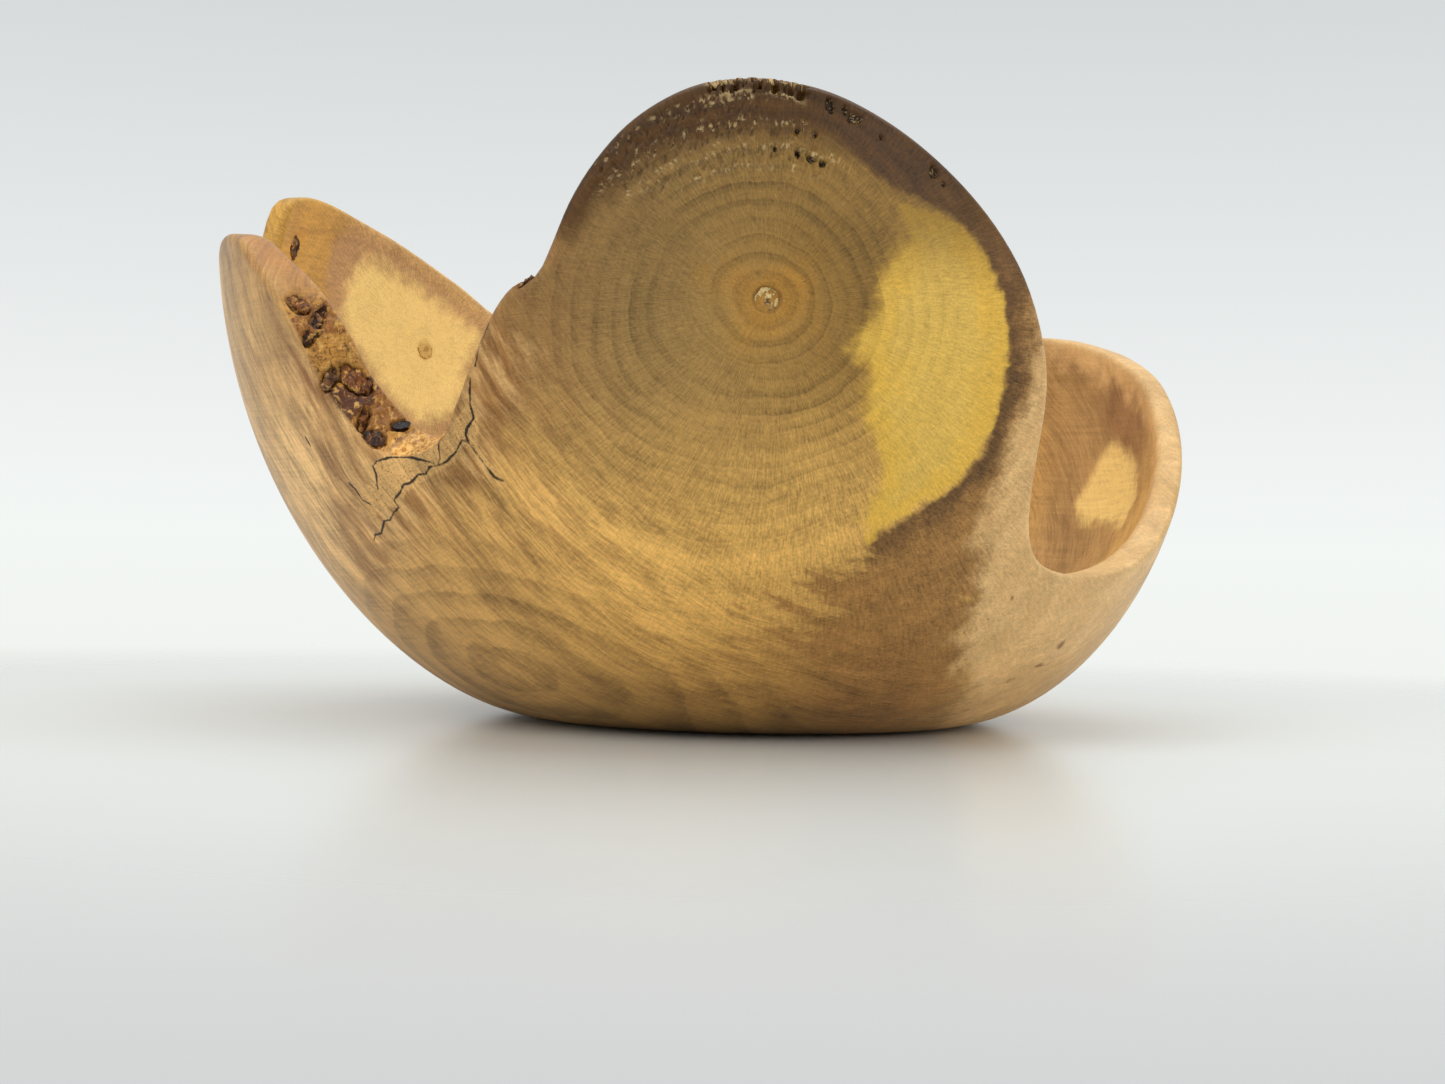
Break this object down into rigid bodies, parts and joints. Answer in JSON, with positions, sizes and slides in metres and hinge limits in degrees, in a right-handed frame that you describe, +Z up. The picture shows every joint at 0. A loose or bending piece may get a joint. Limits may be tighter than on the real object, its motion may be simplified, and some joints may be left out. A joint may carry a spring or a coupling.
{
  "type": "yarn bowl",
  "caption": "Natural-edge turned wooden yarn bowl with a wavy lobed rim, a deep yarn slot at the front left and a wide dip at the front right.",
  "frame": {"origin": "centre of the flat foot, on the surface that the bowl stands on", "axes": "+Z up; -Y towards the front lobe; -X towards the left lobe beside the yarn slot"},
  "size_m": [0.2039, 0.2036, 0.116],
  "materials": {
    "bowl_wood": "satin oiled hardwood with growth rings, yellow heart, purple-brown stain and black spalting lines",
    "bark": "rough dry inner bark",
    "knot": "dense dark knot, slightly polished",
    "pith": "soft dry pith"
  },
  "bodies": {
    "root": {"bowl_body": "bowl_wood", "front_pith_core": "pith", "back_pith_core": "pith", "upper_bark_fleck": "bark", "deep_bark_pocket": "bark", "outer_bark_chip": "bark", "middle_bark_plate": "bark", "lower_bark_sliver": "bark", "lower_bark_lump": "bark", "black_knot": "knot", "shoulder_bark_chip": "bark", "back_lobe_bark": "bark"}
  },
  "joints": []
}
